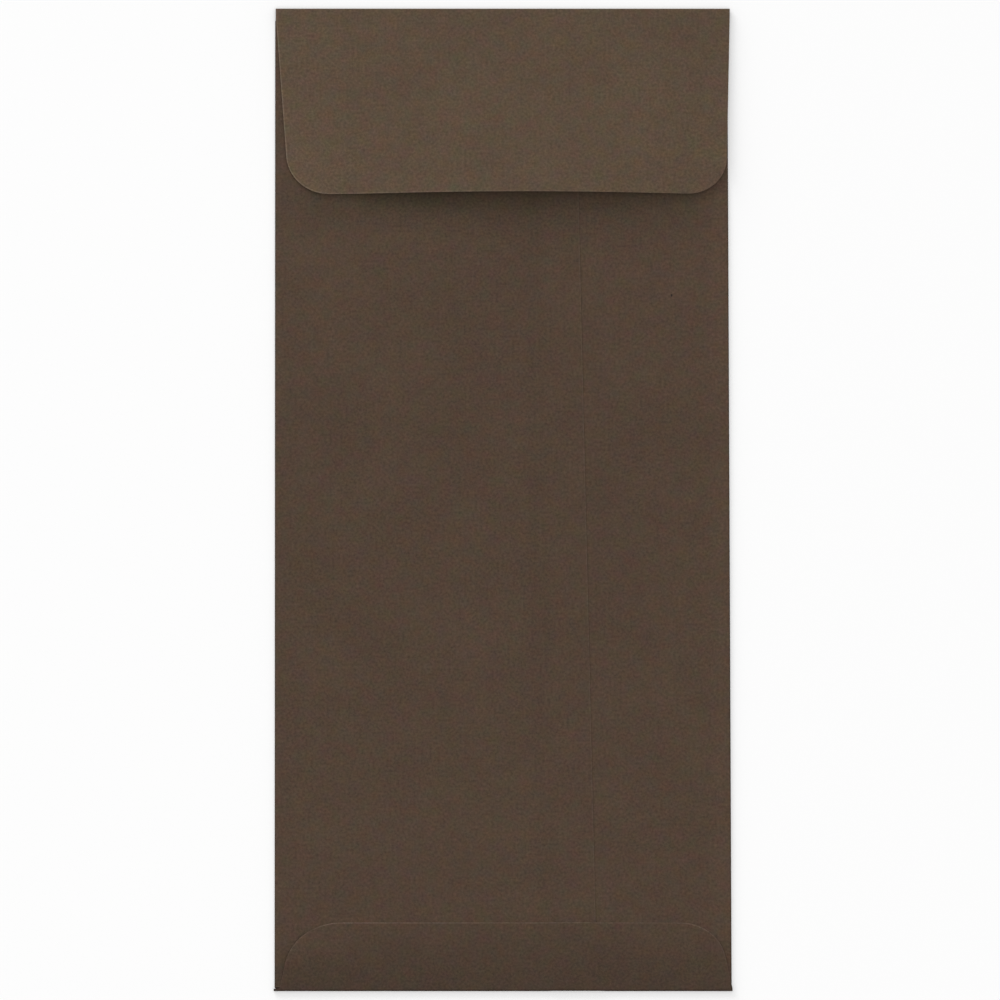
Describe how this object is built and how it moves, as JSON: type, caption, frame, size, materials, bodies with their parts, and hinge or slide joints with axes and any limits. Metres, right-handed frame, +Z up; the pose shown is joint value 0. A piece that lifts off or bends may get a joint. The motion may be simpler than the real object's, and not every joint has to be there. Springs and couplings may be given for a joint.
{
  "type": "paper envelope",
  "caption": "Long open-end kraft paper envelope lying on its front, with a glued back seam and bottom flap and its seal flap folded over but left open.",
  "frame": {"origin": "middle of the footprint, on the lowest face, which is the front panel's outer face", "axes": "+Y along the length towards the seal flap, +Z up out of the back with the seam, +X to the right seen from above with the seal flap at the far end"},
  "size_m": [0.1056, 0.2412, 0.0033],
  "materials": {
    "kraft_paper": "matt uncoated dark kraft"
  },
  "bodies": {
    "root": {"envelope": "kraft_paper"}
  },
  "joints": []
}
